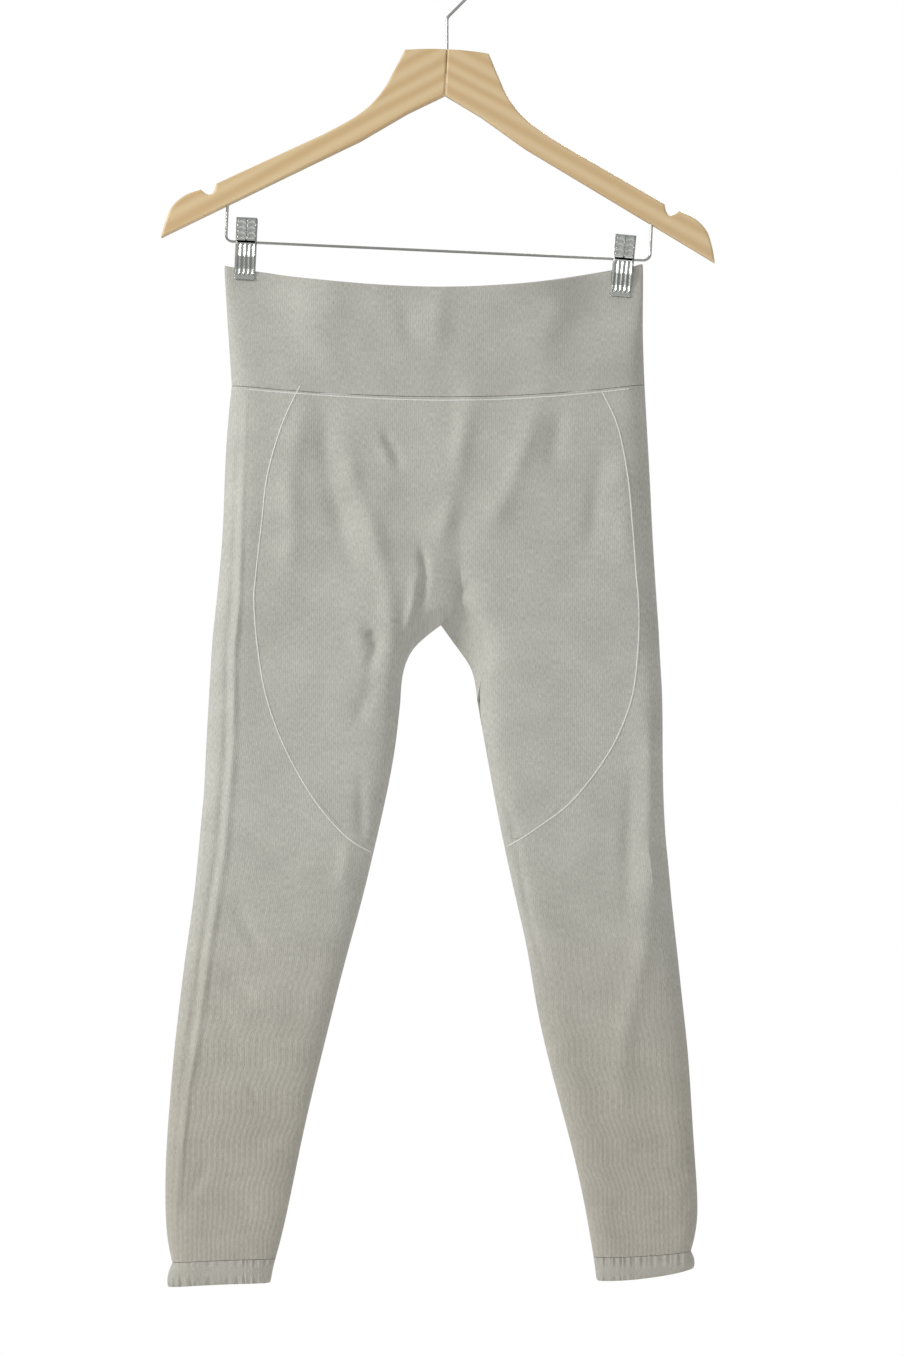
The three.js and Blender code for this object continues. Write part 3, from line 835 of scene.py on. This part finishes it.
def makeJaw(side, face):
    sign = -1 if face == "front" else 1
    half = clipSetup["width"] / 2
    shape = bmesh.new()
    bmesh.ops.create_grid(shape, x_segments=clipSetup["across"], y_segments=clipSetup["down"], size=1)
    heights, depths = zip(*clipSetup["profile"][::-1])
    low, high = heights[0], heights[-1]
    for vert in shape.verts:
        x = vert.co.x * half
        z = low + (vert.co.y + 1) / 2 * (high - low)
        y = np.interp(z, heights, depths) + clipSetup["stand"] + float(pressing(np.array(x), np.array(z)))
        vert.co = (x * mm, sign * y * mm, z * mm)
    if sign > 0:
        bmesh.ops.reverse_faces(shape, faces=shape.faces)
    bmesh.ops.solidify(shape, geom=shape.faces[:], thickness=clipSetup["sheet"] * mm)
    ear, earRadius = clipSetup["ear"][face], clipSetup["earRadius"] * mm
    for across in (-ear, ear):
        upright = Matrix.Translation((across * mm, 0, 0)) @ Matrix.Rotation(math.pi / 2, 4, "Y")
        made = bmesh.ops.create_cone(shape, cap_ends=True, segments=28, radius1=earRadius, radius2=earRadius,
                                     depth=clipSetup["earSheet"] * mm, matrix=upright)
        for vert in made["verts"]:  # the ear runs out to its plate
            if vert.co.y * sign > 0:
                vert.co.y = sign * clipSetup["earReach"] * mm
    bmesh.ops.transform(shape, matrix=clipPlace(side), verts=shape.verts)
    name = f"jaw_{side}_{face}"
    mesh = bpy.data.meshes.new(name)
    bmesh.ops.recalc_face_normals(shape, faces=shape.faces)
    shape.to_mesh(mesh)
    shape.free()
    smoothFaces(mesh)
    mesh.materials.append(pressedSheet)
    piece = addObject(name, mesh)
    rounded = piece.modifiers.new("rounded", "BEVEL")
    rounded.width = clipSetup["rounding"] * mm
    rounded.segments = 2
    rounded.limit_method = "ANGLE"
    rounded.angle_limit = math.radians(50)
    return piece


# Lengths are in millimetres.
springSetup = {
    "turns": 5,
    "steps": 24,
    "radius": 2.0,
    "length": 9.0,
    "wire": 0.42,
    "leg": [(2.4, -12), (2.0, -4)],  # depth and height of the bends in each end
}


def makeSpring(side):
    steps, radius, length = springSetup["steps"], springSetup["radius"], springSetup["length"]
    last = springSetup["turns"] * steps
    coil = []
    for step in range(last + 1):
        angle = step / steps * math.tau
        coil.append((-length / 2 + length * step / last, radius * math.cos(angle), radius * math.sin(angle)))
    start = [(-length / 2, depth, height) for depth, height in springSetup["leg"]]
    end = [(length / 2, -depth, height) for depth, height in springSetup["leg"][::-1]]
    place = clipPlace(side)
    route = [place @ (Vector(point) * mm) for point in start + coil + end]
    return tubeAlong(f"spring_{side}", route, springSetup["wire"] * mm, brightWire, 3)


for side in ("left", "right"):
    for face in ("front", "back"):
        jaw = makeJaw(side, face)
        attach(jaw, "root")
        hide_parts(f"clip_{side}_{face}")
    spring = makeSpring(side)
    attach(spring, "root")
    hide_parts(f"clip_{side}_spring")


def arcPoints(centreX, centreZ, radius, start, end, steps):
    angles = np.radians(np.linspace(start, end, steps))
    return [Vector((centreX + radius * math.cos(a), 0, centreZ + radius * math.sin(a))) for a in angles]


# In millimetres and degrees: the small turn at the stem, and the open bend above it.
hookSetup = {"turn": 5, "bend": (-45, 215)}


def makeHook():
    low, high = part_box("hook")
    wire = (high[1] - low[1]) / 2
    radius = high[0] - wire
    centre = high[2] - wire - radius
    bendZ = centre - radius * math.sqrt(2)
    turn = hookSetup["turn"] * mm
    reach = turn * math.tan(math.pi / 8)
    route = [Vector((0, 0, low[2] + wire))] + arcPoints(turn, bendZ - reach, turn, 180, 135, 8)
    route += arcPoints(0, centre, radius, *hookSetup["bend"], 90)
    return tubeAlong("hookWire", route, wire, brightWire, 5)


# In millimetres: the bar is measured from the place that it tilts about, tiltFrom in the frame.
barSetup = {"top": -127, "bottom": -163.5, "half": 172.5, "turn": 5.5, "tiltFrom": -75.6}


def makeBar():
    low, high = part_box("trouser_bar")
    wire = (high[1] - low[1]) / 2
    names = ("top", "bottom", "half", "turn", "tiltFrom")
    top, bottom, half, turn, tiltFrom = (barSetup[name] * mm for name in names)
    route = [Vector((-half, 0, top))] + arcPoints(-half + turn, bottom + turn, turn, 180, 270, 10)
    route += arcPoints(half - turn, bottom + turn, turn, 270, 360, 10) + [Vector((half, 0, top))]
    place = Matrix.Translation((0, 0, tiltFrom)) @ Matrix.Rotation(hangerTilt, 4, "Y")
    return tubeAlong("barWire", [place @ p for p in route], wire, brightWire, 5)


for piece, node in ((makeHook(), "hook"), (makeBar(), "trouser_bar")):
    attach(piece, "root")
    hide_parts(node)
print("hanger done")
